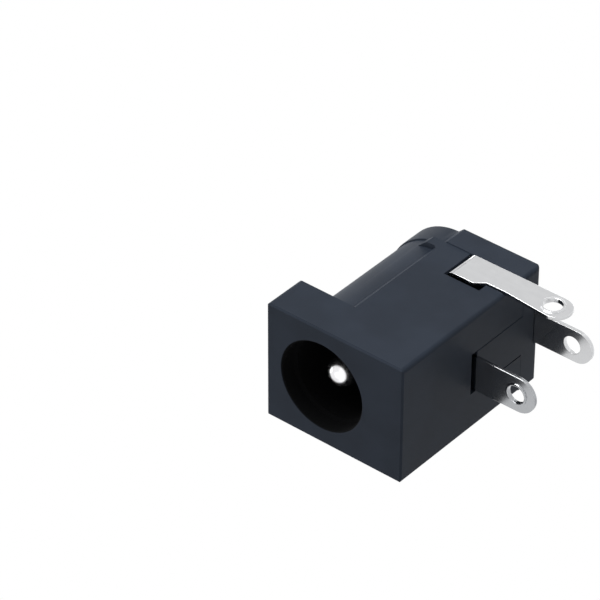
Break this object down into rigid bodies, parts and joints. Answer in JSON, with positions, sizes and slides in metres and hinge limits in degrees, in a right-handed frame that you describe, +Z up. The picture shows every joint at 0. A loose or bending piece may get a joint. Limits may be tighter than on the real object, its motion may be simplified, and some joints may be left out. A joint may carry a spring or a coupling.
{
  "type": "dc barrel jack",
  "caption": "Right-angle board-mount dc barrel jack: moulded housing with a square flange, round socket with a centre pin, riveted rear cover and solder tails with eyelets.",
  "frame": {"origin": "on the board face, on the centre line, in the plane of the flange's back", "axes": "+Z up from the board face; -Y out of the socket's mouth; +X across to the side that carries the switch contact"},
  "size_m": [0.0093, 0.0145, 0.0158],
  "materials": {
    "housing_plastic": "moulded, satin",
    "cover_plastic": "moulded, satin",
    "pin_metal": "turned and plated",
    "terminal_metal": "plated strip, faintly brushed"
  },
  "bodies": {
    "root": {"housing": "housing_plastic", "rear_cover": "cover_plastic", "centre_pin": "pin_metal", "rear_terminal": "terminal_metal", "sleeve_contact": "terminal_metal", "switch_contact": "terminal_metal"}
  },
  "joints": []
}
